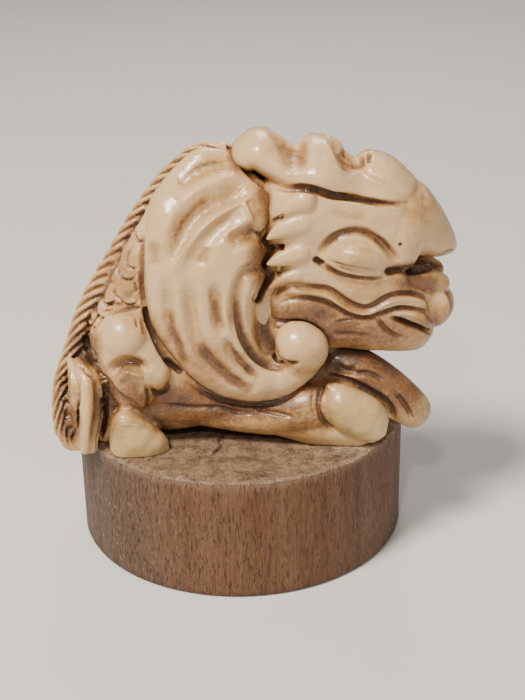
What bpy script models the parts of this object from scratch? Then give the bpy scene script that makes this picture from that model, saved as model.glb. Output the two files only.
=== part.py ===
# A carved kirin, a scaled beast with cloven hooves, crouching on a plain round of walnut.
# Metres, +Z up. The head points to +X, the side that is seen first faces -Y,
# and the origin is the centre of the stand's underside.
import math

import bmesh
import bpy
import numpy as np
from mathutils import Matrix

# Sizes of the stand
STAND_DIAMETER = 0.040
STAND_HEIGHT = 0.0151
STAND_EDGE_ROUND = 0.0003
STAND_SIDES = 72

# Size and place of the carving
FIGURE_LENGTH = 0.048
FIGURE_FORWARD = 0.0035
REST_GAP = 0.0003

# The carving's own points and radii are in 48ths of its length, which are millimetres at
# its real size: x along the body, y across it (the near side is negative), z from its feet.
SHARES = 48.0
UNIT = FIGURE_LENGTH / SHARES

# Many forms are laid out on a side drawing, an upright pane beside the body, and carried
# along the line of sight from the drawing's eye point to their own depth.
EYE = np.array([0.0, -141.3, 72.2])
PANE = -8.5

# Where the head begins to narrow towards the snout
SNOUT_START = 14.0

# Fineness of the carving's surface, in the same shares
CLAY_VOXEL = 0.40
CLAY_SMOOTHING = 3
CARVED_TRIANGLES = 9200

# How closely the clay is laid, and how far inside its outline a cushion's clay starts
CLAY_STEP = 0.8
OUTLINE_STEP = 0.6
CUSHION_RIM = 0.5

# The gouge: how closely its path is followed, how round its cut is, how soon a cut fades on
# a face that turns from the eye, and how far from the body's middle it stops
GOUGE_STEP = 0.35
GOUGE_ROUNDNESS = 1.5
GOUGE_FADE = 2.5
GOUGE_CLEAR = 0.5


def clear_scene():
    for thing in list(bpy.data.objects):
        bpy.data.objects.remove(thing, do_unlink=True)


def new_collection(name):
    collection = bpy.data.collections.new(name)
    bpy.context.scene.collection.children.link(collection)
    return collection


def plain_material(name, colour, roughness):
    material = bpy.data.materials.new(name)
    material.use_nodes = True
    shader = material.node_tree.nodes["Principled BSDF"]
    shader.inputs["Base Color"].default_value = (*colour, 1.0)
    shader.inputs["Roughness"].default_value = roughness
    shader.inputs["Metallic"].default_value = 0.0
    return material


def through(points, step):
    """A smooth line of rows like the control points, about one step apart."""
    rows = np.array(points, float)
    if len(rows) == 1:
        return rows
    ends = np.vstack([2 * rows[0] - rows[1], rows, 2 * rows[-1] - rows[-2]])
    line = []
    for i in range(1, len(ends) - 2):
        a, b, c, d = ends[i - 1 : i + 3]
        count = max(1, math.ceil(np.linalg.norm((c - b)[:3]) / step))
        for t in np.arange(count) / count:
            bend = (c - a) * t + (2 * a - 5 * b + 4 * c - d) * t**2 + (3 * b - a - 3 * c + d) * t**3
            line.append(b + 0.5 * bend)
    return np.array(line + [rows[-1]])


def from_pane(points):
    """Rows (x, depth, z, radius) whose x, z and radius are read on the pane, made real."""
    rows = np.array(points, float)
    grow = (rows[:, 1] - EYE[1]) / (PANE - EYE[1])
    rows[:, 0] *= grow
    rows[:, 2] = EYE[2] + (rows[:, 2] - EYE[2]) * grow
    rows[:, 3] *= grow
    return rows


def on_pane(points):
    """Where real points appear on the pane, as rows (x, z)."""
    grow = (points[:, 1] - EYE[1]) / (PANE - EYE[1])
    return np.column_stack([points[:, 0] / grow, EYE[2] + (points[:, 2] - EYE[2]) / grow])


# Clay: the masses of the carving, as overlapping balls that are fused afterwards

class Clay:
    def __init__(self):
        shape = bmesh.new()
        bmesh.ops.create_icosphere(shape, subdivisions=3, radius=1.0)
        self.ball_points = np.array([v.co for v in shape.verts])
        self.ball_faces = np.array([[v.index for v in f.verts] for f in shape.faces])
        shape.free()
        self.points = []
        self.faces = []

    def ball(self, centre, radii, tilt=0.0):
        """An ellipsoid, tilted nose down about the y axis by so many degrees."""
        turn = np.array(Matrix.Rotation(math.radians(tilt), 3, "Y"))
        self.faces.append(self.ball_faces + len(self.points) * len(self.ball_points))
        self.points.append(self.ball_points * np.array(radii) @ turn.T + np.array(centre))

    def roll(self, rows, flat=1.0):
        """A tapering roll of clay through rows (x, y, z, radius); flat scales it in y."""
        for x, y, z, radius in through(rows, CLAY_STEP):
            self.ball((x, y, z), (radius, radius * flat, radius))

    def both_balls(self, centre, radii, tilt=0.0):
        x, y, z = centre
        self.ball((x, y, z), radii, tilt)
        self.ball((x, -y, z), radii, tilt)

    def both_rolls(self, rows, flat=1.0):
        rows = np.array(rows, float)
        self.roll(rows, flat)
        self.roll(rows * (1, -1, 1, 1), flat)

    def both_pads(self, outline, depths, thickness, narrowing=0.0):
        """A cushion inside a closed outline on the pane, with its rim rounded over.

        depths gives the depth of its middle layer as rows (z on the pane, y), and
        narrowing how fast it draws in to the middle of the body towards the snout.
        """
        border = through(outline + outline[:1], OUTLINE_STEP)[:-1]
        low, high = border.min(axis=0), border.max(axis=0)
        rows = []
        for x in np.arange(low[0], high[0], CLAY_STEP):
            for z in np.arange(low[1], high[1], CLAY_STEP):
                if inside((x, z), border):
                    rim = np.linalg.norm(border - (x, z), axis=1).min()
                    if rim > CUSHION_RIM:
                        y = np.interp(z, *zip(*depths)) + narrowing * max(0, x - SNOUT_START)
                        rows.append((x, y, z, min(rim, thickness)))
        for x, y, z, radius in from_pane(rows):
            self.both_balls((x, y, z), (radius, radius, radius))


def inside(point, border):
    """Whether a point lies within a closed line of points."""
    x, z = point
    ahead = np.roll(border, -1, axis=0)
    crosses = (border[:, 1] > z) != (ahead[:, 1] > z)
    rise = np.where(crosses, ahead[:, 1] - border[:, 1], 1.0)
    at = border[:, 0] + (z - border[:, 1]) / rise * (ahead[:, 0] - border[:, 0])
    return np.count_nonzero(crosses & (x < at)) % 2 == 1


def model_trunk(clay):
    # rump, back and withers, then the low belly that ties the feet together
    clay.roll([
        (-13.2, 0, 8.6, 5.6), (-11.6, 0, 13.2, 6.4), (-8.4, 0, 18.4, 7.0), (-5.0, 0, 23.0, 7.0),
        (-0.8, 0, 26.6, 6.8), (4, 0, 25, 6.4),
    ], flat=1.0)
    clay.roll([(-14, 0, 5.6, 4.2), (-8, 0, 6.2, 4.4), (0, 0, 6.2, 4.6), (8, 0, 6.0, 4.4)], flat=1.5)
    clay.roll([(-2, 0, 18, 7), (4, 0, 15, 6), (9, 0, 12, 5)], flat=1.0)


THIGH = [
    (-15.2, 17.0), (-12.3, 17.8), (-10.2, 17.4), (-9.2, 15.0), (-7.9, 12.6), (-7.5, 10.4),
    (-8.6, 8.2), (-9.6, 6.0), (-13.6, 5.6), (-15.0, 8.2), (-15.8, 11.4), (-16.6, 14.6),
]
FLANK = [
    (-13.0, 20.0), (-9.0, 20.0), (-7.0, 14.0), (-4.0, 10.0), (0.0, 8.0), (6.0, 8.0), (7.0, 4.0),
    (3.0, 2.4), (-3.0, 3.2), (-8.0, 2.8), (-12.0, 3.4), (-13.5, 10.0),
]


def model_haunch(clay):
    # thigh, knee and shank on each side, then the rear hooves
    clay.both_pads(THIGH, [(4, -6.0), (10, -6.4), (17, -5.6)], thickness=3.0)
    clay.both_rolls(from_pane([
        (-12.6, -5.6, 10.6, 2.6), (-11.8, -6.2, 7.6, 2.4), (-12.4, -7.0, 5.0, 2.4),
    ]))
    clay.both_rolls(from_pane([
        (-13.2, -7.6, 3.2, 2.5), (-11.8, -8.2, 2.2, 2.8), (-10.4, -8.4, 1.4, 2.2),
    ]))
    clay.both_pads(FLANK, [(2, -4.6), (8, -4.8), (20, -4.0)], thickness=2.6)


def model_forelegs(clay):
    # near forearm and hoof, and the other one tucked in beside it under the chin
    clay.roll(from_pane([
        (-4, -5.5, 4.6, 1.6), (1, -5.8, 3.9, 1.9), (5, -6.2, 4.3, 2.6), (8.6, -6.2, 5.2, 3.0),
        (11.5, -5.6, 5.6, 2.6),
    ]))
    clay.roll(from_pane([
        (10.8, -7.6, 6.4, 1.2), (12.1, -7.9, 5.0, 2.3), (13.7, -8.0, 3.4, 2.8),
        (15.2, -7.8, 2.4, 2.2),
    ]))
    clay.roll(from_pane([
        (9, -1.5, 11, 3.0), (13, -3.4, 9.4, 2.9), (16.2, -3.8, 7.2, 2.8), (18.8, -4.0, 5.2, 2.4),
        (19.8, -4.0, 4.4, 2.1),
    ]))
    clay.roll(from_pane([
        (4, -6.6, 3.2, 1.6), (8, -7.0, 2.4, 1.8), (11, -7.2, 1.8, 1.6), (13.4, -7.2, 1.4, 1.6),
    ]))
    clay.roll([
        (-4, 5.5, 3.4, 1.6), (1, 5.8, 3.0, 1.9), (6, 6.0, 3.2, 2.6), (10, 5.4, 3.4, 2.8),
        (13.4, 4.4, 2.4, 2.3),
    ])


MANE = [
    (0.4, 35.6), (-1.6, 36.2), (-4.0, 36.2), (-6.0, 34.4), (-8.1, 31.9), (-9.3, 29.4), (-9.9, 25),
    (-10, 20), (-9.7, 16.2), (-8.2, 13.0), (-6.1, 10.1), (-3.9, 8.0), (-1.2, 6.6), (2.2, 6.1),
    (5.0, 6.5), (7.6, 8.2), (9.4, 10.4), (9.7, 12.4), (8.6, 15.0), (6.2, 16.0), (4.3, 14.8),
    (3.9, 12.8), (4.4, 11.2), (3.0, 11.6), (2.0, 13.8), (2.2, 16.6), (3.2, 19.0), (4.4, 22.5),
    (4.6, 26.0), (5.4, 30.4), (2.6, 32.8),
]


def model_mane(clay):
    # the great swept lock over each shoulder, ending in a curl under the jaw
    clay.both_pads(MANE, [
        (6, -6.0), (14, -6.5), (21, -6.4), (25, -5.8), (28, -4.4), (31, -2.4), (33.5, -0.6), (36, 0),
    ], thickness=3.0)
    clay.both_rolls(from_pane([(6.7, -6.7, 13.0, 2.9), (7.2, -6.7, 12.4, 2.9)]))


FACE = [
    (4.8, 30.2), (8.8, 30.0), (14, 29.0), (18.6, 27.6), (20.4, 25.4), (19.6, 22.6), (18.8, 21.2),
    (20.6, 19.6), (22.2, 17.6), (21.8, 14.8), (21.2, 12.8), (19.6, 11.9), (15.3, 12.0), (12, 12.4),
    (8, 12.6), (4, 14), (3.6, 19), (3.2, 21.4), (3.6, 25.6),
]


def model_head(clay):
    clay.roll([
        (8, 0, 26.9, 7.0), (12, 0, 26.6, 6.7), (15.4, 0, 26.0, 6.0), (18.4, 0, 24.8, 4.8),
    ], flat=1.08)
    clay.roll([
        (18.4, 0, 24.8, 4.8), (20.8, 0, 23.6, 3.5), (23.0, 0, 22.1, 2.2), (24.3, 0, 21.3, 1.2),
    ], flat=1.25)
    clay.roll([
        (7, 0, 18.0, 4.6), (12, 0, 17.6, 3.9), (17, 0, 17.0, 3.2), (20.8, 0, 16.2, 2.9),
    ], flat=1.35)
    clay.roll([
        (5, 0, 14.6, 3.6), (10, 0, 13.9, 3.0), (15.5, 0, 12.0, 2.8), (18.6, 0, 11.2, 2.6),
        (21.0, 0, 11.2, 2.2),
    ], flat=1.65)
    clay.both_pads(FACE, [(12, -3.4), (17, -4.0), (22, -4.5), (30, -4.2)], thickness=2.6, narrowing=0.2)
    clay.both_balls((22.7, -1.8, 14.5), (2.5, 2.2, 2.8), tilt=15)
    clay.both_rolls(from_pane([
        (11.6, -6.1, 23.0, 1.2), (13.4, -6.2, 23.1, 1.6), (15.6, -6.0, 22.6, 1.1),
    ]))


def model_crest(clay):
    # a low horn laid back over the skull, its top cut into bumps
    clay.roll([
        (2.6, 0, 31.4, 3.0), (8, 0, 30.8, 3.4), (13, 0, 29.3, 3.0), (17.0, 0, 27.5, 2.8),
        (19.4, 0, 26.0, 2.2),
    ], flat=2.1)
    clay.roll([(1.5, 0, 32.6, 1.9), (2.8, 0, 33.3, 2.1), (4.4, 0, 33.0, 2.0)], flat=2.0)
    clay.roll([(9.0, 0, 32.2, 2.2), (10.8, 0, 32.1, 2.2)], flat=2.1)
    clay.roll([(15.4, 0, 30.6, 2.1), (17.0, 0, 29.8, 2.2), (18.8, 0, 28.2, 2.0)], flat=2.1)


RIDGE = [
    (-1.0, 0, 33.2, 0.9), (-4.0, 0, 32.5, 1.1), (-6.2, 0, 30.9, 1.1), (-8.8, 0, 28.2, 1.1),
    (-11.4, 0, 24.6, 1.1), (-13.4, -0.1, 21.3, 1.1), (-15.9, -0.4, 17.4, 1.15),
    (-17.6, -0.9, 14.2, 1.2), (-18.4, -1.8, 11.2, 1.3),
]
HAIR = [
    (-17.2, -2.4, 12.0, 1.6), (-18.2, -4.4, 9.6, 2.1), (-19.2, -6.2, 6.4, 2.2),
    (-19.2, -7.4, 3.6, 2.1), (-18.4, -7.8, 1.6, 1.6),
]


def model_spine_and_tail(clay):
    clay.roll(RIDGE)
    clay.roll(from_pane(HAIR))
    clay.roll([(-15.4, -4.6, 6.0, 2.0), (-15.6, -5.0, 3.4, 2.0), (-15.6, -5.2, 1.6, 1.6)])
    # two long leaves of hair that fall beside the near hoof
    clay.roll(from_pane([
        (-17.9, -6.6, 11.2, 0.7), (-17.2, -8.4, 8.4, 1.2), (-17.0, -9.2, 4.8, 1.3),
        (-16.6, -9.2, 1.8, 1.1), (-16.2, -9.0, 0.4, 0.8),
    ]))
    clay.roll(from_pane([(-18.9, -6.0, 11.6, 0.6), (-19.0, -8.0, 8.2, 0.8), (-18.9, -8.6, 5.0, 0.6)]))


# Cuts of the gouge, on the pane: how wide, how deep, and the points (x, z) they pass
CUTS = [
    (1.2, 1.3, [
        (0, 35.6), (1.6, 33.6), (3.1, 32.4), (5.2, 31.1), (4.9, 29.4), (4.3, 27.1), (3.5, 25.2),
        (3.1, 23), (3.8, 21.2),
    ]),
    (1.0, 0.8, [(3.1, 32.6), (5.4, 31.3), (8.8, 30.4), (13, 29.7), (16.7, 28.8), (19.2, 28.5)]),
    (0.9, 1.3, [(16.8, 21.3), (18.7, 21.4), (20.4, 21.6), (21.8, 22.0)]),
    (0.9, 0.8, [(9, 22.8), (10.4, 24.7), (12.3, 25.9), (15.2, 25.3), (17.7, 22.6)]),
    (0.9, 0.7, [(9, 22.8), (11, 21.5), (13.5, 20.9), (16.6, 21.2)]),
    (0.9, 0.7, [
        (4.4, 19.5), (6.5, 19.8), (10.3, 19.2), (12.5, 17.4), (14, 16.8), (16.6, 18), (19.9, 18.3),
        (21.4, 17.3), (22.2, 14.9),
    ]),
    (1.0, 1.1, [(17.2, 15.8), (19, 15.2), (20.8, 14.4), (22.4, 13.8)]),
    (0.8, 0.6, [(13, 15.0), (15.6, 15.2), (17.9, 13.3)]),
    (1.5, 1.3, [(2.1, 16.4), (2.9, 13.8), (4.1, 11.4)]),
    (1.3, 0.7, [(-5.2, 33), (0, 34)]),
    (1.3, 0.8, [(0.6, 31.3), (-1.6, 30.2), (-4, 29.6), (-6, 27.3), (-7, 24.7)]),
    (1.5, 0.7, [(-3.6, 24.6), (-3.6, 23.2)]),
    (1.4, 0.7, [(0.6, 26.6), (2.0, 25.9)]),
    (1.2, 0.6, [(-8, 16.5), (-7.6, 14), (-6.8, 11.4)]),
    (1.2, 0.8, [(-5.5, 17), (-4.6, 12.6), (-2.2, 9.6), (0.8, 8)]),
    (1.1, 0.7, [(-2.2, 17.4), (-1.6, 14.4), (0, 11.2), (2.2, 9.1)]),
    (1.0, 0.7, [(0.9, 21.5), (0.1, 18.6), (0.5, 14.4), (2.3, 11.2), (4.5, 10.2), (6.3, 10.4)]),
    (1.0, 0.6, [(-14.8, 11.6), (-13.2, 12.2), (-11.2, 11.2), (-12.6, 10.4), (-14.6, 11.2)]),
    (0.8, 0.8, [(-9.6, 17.8), (-9.2, 15.6), (-7.9, 12.9), (-7.2, 10.6), (-8.0, 8.2)]),
    (1.1, 1.1, [(-15.2, 8.2), (-15.6, 5), (-15.6, 2.6), (-16.2, 0.6)]),
    (1.0, 0.8, [(-13.6, 6.2), (-11.2, 5.4), (-9.2, 3.6), (-8.2, 1.6)]),
    (1.0, 0.8, [(-10, 6.4), (-6, 6.2), (-2, 5.9), (2, 4.6)]),
    (0.8, 0.9, [(9.4, 7.8), (9.3, 5.4), (10.8, 2.6), (12.4, 0.6)]),
    (0.8, 1.0, [(9.8, 8.6), (12.6, 7.8), (15.6, 6.2), (17.5, 3.8), (17.8, 1.5)]),
    (0.9, 0.7, [(19.2, 5.2), (19.8, 4), (19.6, 2)]),
    (0.9, 0.7, [(-17.9, 10.6), (-18.2, 6), (-17.8, 1.6)]),
]


def carve(points, normals):
    """Pushes the skin in along the cuts, on the near side and mirrored on the far one."""
    depth = np.zeros(len(points))
    for mirror in ((1, 1, 1), (1, -1, 1)):
        places = points * mirror
        towards = EYE - places
        towards /= np.linalg.norm(towards, axis=1)[:, None]
        facing = np.clip(np.sum(towards * normals * mirror, axis=1) * GOUGE_FADE, 0, 1)
        facing *= places[:, 1] < -GOUGE_CLEAR
        flat = on_pane(places)
        for width, deep, path in CUTS:
            line = through(path, GOUGE_STEP)
            above, below = flat > line.min(axis=0) - width, flat < line.max(axis=0) + width
            near = np.flatnonzero(np.all(above & below, axis=1))
            away = np.min(np.linalg.norm(flat[near, None] - line[None], axis=2), axis=1)
            cut = deep * np.clip(1 - (away / width) ** 2, 0, 1) ** GOUGE_ROUNDNESS * facing[near]
            depth[near] = np.maximum(depth[near], cut)
    return points - normals * depth[:, None]


def fused(clay, name, collection):
    """Joins the balls into one skin, softens it, and gives the result as a mesh."""
    soup = bpy.data.meshes.new(name + "_soup")
    soup.from_pydata(np.concatenate(clay.points), [], np.concatenate(clay.faces))
    carrier = bpy.data.objects.new(name + "_soup", soup)
    collection.objects.link(carrier)
    remesh = carrier.modifiers.new("fuse", "REMESH")
    remesh.mode = "VOXEL"
    remesh.voxel_size = CLAY_VOXEL
    soften = carrier.modifiers.new("soften", "SMOOTH")
    soften.factor = 0.5
    soften.iterations = CLAY_SMOOTHING
    ready = carrier.evaluated_get(bpy.context.evaluated_depsgraph_get())
    skin = bpy.data.meshes.new_from_object(ready)
    bpy.data.objects.remove(carrier, do_unlink=True)
    skin.name = name
    return skin


def carve_skin(skin):
    count = len(skin.vertices)
    points = np.empty(count * 3, np.float32)
    normals = np.empty(count * 3, np.float32)
    skin.vertices.foreach_get("co", points)
    skin.vertices.foreach_get("normal", normals)
    carved = carve(points.reshape(-1, 3).astype(float), normals.reshape(-1, 3).astype(float))
    skin.vertices.foreach_set("co", carved.astype(np.float32).ravel())
    skin.update()


def cut_flat(skin):
    """Cuts the feet off level at z = 0 and closes them."""
    shape = bmesh.new()
    shape.from_mesh(skin)
    whole = shape.verts[:] + shape.edges[:] + shape.faces[:]
    down = (0, 0, -1)
    bmesh.ops.bisect_plane(shape, geom=whole, plane_co=(0, 0, 0), plane_no=down, clear_outer=True)
    bmesh.ops.holes_fill(shape, edges=[e for e in shape.edges if e.is_boundary], sides=0)
    bmesh.ops.triangulate(shape, faces=shape.faces[:])
    shape.to_mesh(skin)
    shape.free()


def make_figure(collection, material):
    clay = Clay()
    model_trunk(clay)
    model_haunch(clay)
    model_forelegs(clay)
    model_mane(clay)
    model_head(clay)
    model_crest(clay)
    model_spine_and_tail(clay)
    skin = fused(clay, "kirin", collection)
    carve_skin(skin)
    cut_flat(skin)
    skin.transform(Matrix.Scale(UNIT, 4))
    skin.materials.append(material)
    figure = bpy.data.objects.new("kirin_figure", skin)
    collection.objects.link(figure)
    figure.location = (0, -FIGURE_FORWARD, STAND_HEIGHT + REST_GAP)
    thin = figure.modifiers.new("thin_out", "DECIMATE")
    thin.ratio = min(1.0, CARVED_TRIANGLES / len(skin.polygons))
    skin.shade_smooth()
    return figure


def make_stand(collection, material):
    bpy.ops.mesh.primitive_cylinder_add(
        vertices=STAND_SIDES,
        radius=STAND_DIAMETER / 2,
        depth=STAND_HEIGHT,
        location=(0, 0, STAND_HEIGHT / 2),
    )
    stand = bpy.context.object
    stand.name = "wooden_stand"
    stand.data.materials.append(material)
    bevel = stand.modifiers.new("edge", "BEVEL")
    bevel.width = STAND_EDGE_ROUND
    bevel.segments = 1
    bevel.limit_method = "ANGLE"
    for other in list(stand.users_collection):
        other.objects.unlink(stand)
    collection.objects.link(stand)
    return stand


def main():
    clear_scene()
    okimono = new_collection("okimono")
    ivory = plain_material("ivory_resin", (0.72, 0.58, 0.40), 0.35)
    walnut = plain_material("walnut", (0.20, 0.10, 0.055), 0.7)
    make_stand(okimono, walnut)
    make_figure(okimono, ivory)


main()
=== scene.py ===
import math

import bmesh
import bpy
import numpy as np
from mathutils import Matrix, Vector, noise
from mathutils.bvhtree import BVHTree


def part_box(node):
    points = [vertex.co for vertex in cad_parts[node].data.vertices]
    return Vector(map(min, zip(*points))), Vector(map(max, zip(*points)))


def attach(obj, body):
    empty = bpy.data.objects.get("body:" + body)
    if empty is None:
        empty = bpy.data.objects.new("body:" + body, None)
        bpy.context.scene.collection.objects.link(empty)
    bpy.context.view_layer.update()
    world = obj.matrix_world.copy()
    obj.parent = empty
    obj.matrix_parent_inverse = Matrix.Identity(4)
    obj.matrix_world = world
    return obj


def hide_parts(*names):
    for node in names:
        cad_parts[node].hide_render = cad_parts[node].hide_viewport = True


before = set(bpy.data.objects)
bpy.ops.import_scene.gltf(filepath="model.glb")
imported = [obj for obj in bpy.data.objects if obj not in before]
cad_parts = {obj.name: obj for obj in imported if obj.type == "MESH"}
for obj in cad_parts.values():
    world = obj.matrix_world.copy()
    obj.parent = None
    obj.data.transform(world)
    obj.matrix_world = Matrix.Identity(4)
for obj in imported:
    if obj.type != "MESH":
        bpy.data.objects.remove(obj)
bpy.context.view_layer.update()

cameraLook = {
    "place": (0.0, -0.1448, 0.0876),
    "yaw": 0.020,  # radians, as pitch and roll are
    "pitch": 0.424,
    "roll": -0.017,
    "focalPixels": 1300.0,
    "longSide": 700.0,
}


def makeCamera():
    yaw, pitch, roll = cameraLook["yaw"], cameraLook["pitch"], cameraLook["roll"]
    ahead = Vector((math.sin(yaw) * math.cos(pitch), math.cos(yaw) * math.cos(pitch), -math.sin(pitch)))
    right = ahead.cross(Vector((0, 0, 1))).normalized()
    up = right.cross(ahead)
    across = right * math.cos(roll) + up * math.sin(roll)
    above = up * math.cos(roll) - right * math.sin(roll)
    data = bpy.data.cameras.new("camera")
    data.sensor_width = 36.0
    data.lens = data.sensor_width * cameraLook["focalPixels"] / cameraLook["longSide"]
    data.clip_start = 0.005
    camera = bpy.data.objects.new("camera", data)
    bpy.context.scene.collection.objects.link(camera)
    turn = Matrix((across, above, -ahead)).transposed().to_4x4()
    camera.matrix_world = Matrix.Translation(Vector(cameraLook["place"])) @ turn
    bpy.context.scene.camera = camera


makeCamera()
print("camera made")


# The beast is modelled in millimetres: x along the body, y across it (the near side is negative)
# and z from its feet. Forms are laid out on a side drawing, an upright pane beside the body, and
# carried along the line of sight from the drawing's eye point to their own depth.

clayLook = {
    "eye": (0.0, -141.3, 72.2),
    "pane": -8.5,
    "snoutStart": 14.0,
    "smoothing": 7,
    "ballStep": 0.6,
    "mostTriangles": 197000,
    "padRimStep": 0.6,
    "padPitch": 0.7,
    "padLeast": 0.4,
    "footHeight": 0.6,  # the feet come down onto the wood below this
    "footDrop": 0.27,
    "forward": 3.5,
    "standsAt": 15.4,
}
eye = np.array(clayLook["eye"])
pane = clayLook["pane"]


def through(points, step):  # a smooth line of rows, about one step apart
    rows = np.array(points, float)
    if len(rows) == 1:
        return rows
    ends = np.vstack([2 * rows[0] - rows[1], rows, 2 * rows[-1] - rows[-2]])
    line = []
    for i in range(1, len(ends) - 2):
        a, b, c, d = ends[i - 1 : i + 3]
        count = max(1, math.ceil(np.linalg.norm((c - b)[:3]) / step))
        for t in np.arange(count) / count:
            bend = (c - a) * t + (2 * a - 5 * b + 4 * c - d) * t**2 + (3 * b - a - 3 * c + d) * t**3
            line.append(b + 0.5 * bend)
    return np.array(line + [rows[-1]])


def fromPane(points):  # rows (x, depth, z, radius) read on the pane, made real
    rows = np.array(points, float)
    grow = (rows[:, 1] - eye[1]) / (pane - eye[1])
    rows[:, 0] *= grow
    rows[:, 2] = eye[2] + (rows[:, 2] - eye[2]) * grow
    rows[:, 3] *= grow
    return rows


def onPane(points):  # where real points appear on the pane, as rows (x, z)
    grow = (points[:, 1] - eye[1]) / (pane - eye[1])
    return np.column_stack([points[:, 0] / grow, eye[2] + (points[:, 2] - eye[2]) / grow])


def inside(point, border):
    x, z = point
    ahead = np.roll(border, -1, axis=0)
    crosses = (border[:, 1] > z) != (ahead[:, 1] > z)
    rise = np.where(crosses, ahead[:, 1] - border[:, 1], 1.0)
    at = border[:, 0] + (z - border[:, 1]) / rise * (ahead[:, 0] - border[:, 0])
    return np.count_nonzero(crosses & (x < at)) % 2 == 1


class Clay:
    def __init__(self):
        shape = bmesh.new()
        bmesh.ops.create_icosphere(shape, subdivisions=3, radius=1.0)
        self.ballPoints = np.array([v.co for v in shape.verts])
        self.ballFaces = np.array([[v.index for v in f.verts] for f in shape.faces])
        shape.free()
        self.points = []
        self.faces = []

    def ball(self, centre, radii, tilt=0.0):
        turn = np.array(Matrix.Rotation(math.radians(tilt), 3, "Y"))
        self.faces.append(self.ballFaces + len(self.points) * len(self.ballPoints))
        self.points.append(self.ballPoints * np.array(radii) @ turn.T + np.array(centre))

    def roll(self, rows, flat=1.0, step=None):  # a tapering roll; flat scales it in y
        for x, y, z, radius in through(rows, step or clayLook["ballStep"]):
            self.ball((x, y, z), (radius, radius * flat, radius))

    def bothBalls(self, centre, radii, tilt=0.0):
        x, y, z = centre
        self.ball((x, y, z), radii, tilt)
        self.ball((x, -y, z), radii, tilt)

    def bothRolls(self, rows, flat=1.0, step=None):
        rows = np.array(rows, float)
        self.roll(rows, flat, step)
        self.roll(rows * (1, -1, 1, 1), flat, step)

    def bothPads(self, outline, depths, thickness, narrowing=0.0):
        border = through(outline + outline[:1], clayLook["padRimStep"])[:-1]
        low, high = border.min(axis=0), border.max(axis=0)
        rows = []
        for x in np.arange(low[0], high[0], clayLook["padPitch"]):
            for z in np.arange(low[1], high[1], clayLook["padPitch"]):
                if inside((x, z), border):
                    rim = np.linalg.norm(border - (x, z), axis=1).min()
                    if rim > clayLook["padLeast"]:
                        y = np.interp(z, *zip(*depths)) + narrowing * max(0, x - clayLook["snoutStart"])
                        rows.append((x, y, z, min(rim, thickness)))
        for x, y, z, radius in fromPane(rows):
            self.bothBalls((x, y, z), (radius, radius, radius))


def modelTrunk(clay):
    clay.roll([
        (-13.2, 0, 8.6, 5.4), (-11.4, 0, 13.2, 6.0), (-8.2, 0, 18.4, 6.5), (-4.9, 0, 22.9, 6.6),
        (-1.2, 0, 25.2, 5.2), (3.6, 0, 24.2, 5.2),
    ])
    clay.roll([(-14, 0, 5.6, 4.2), (-8, 0, 6.2, 4.4), (0, 0, 6.2, 4.6), (8, 0, 6.0, 4.4)], flat=1.5)
    clay.roll([(-2, 0, 18, 7), (4, 0, 15, 6), (9, 0, 12, 5)])


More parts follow.
